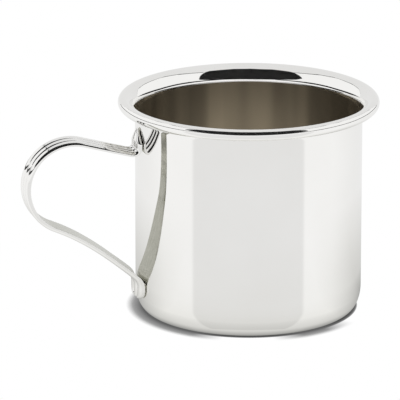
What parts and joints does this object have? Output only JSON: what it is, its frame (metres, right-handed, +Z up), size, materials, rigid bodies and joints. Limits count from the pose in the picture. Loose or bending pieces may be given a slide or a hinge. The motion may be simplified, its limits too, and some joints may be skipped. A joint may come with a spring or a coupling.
{
  "type": "baby cup",
  "caption": "Small polished metal baby cup with a straight wall, rounded base corner, flared wire-edged rim and a reeded strap handle soldered to its side.",
  "frame": {"origin": "centre of the flat underside, where the cup's axis meets the surface that it stands on", "axes": "+Z up along the cup's axis, -X towards the middle of the handle, +Y to the side"},
  "size_m": [0.1057, 0.076, 0.0635],
  "materials": {
    "polished_silver": "polished",
    "silver_solder": "satin"
  },
  "bodies": {
    "root": {"cup_body": "polished_silver", "rim_wire": "polished_silver", "rim_solder_seam": "silver_solder", "handle_strap": "polished_silver", "upper_foot_solder": "silver_solder", "lower_foot_solder": "silver_solder"}
  },
  "joints": []
}
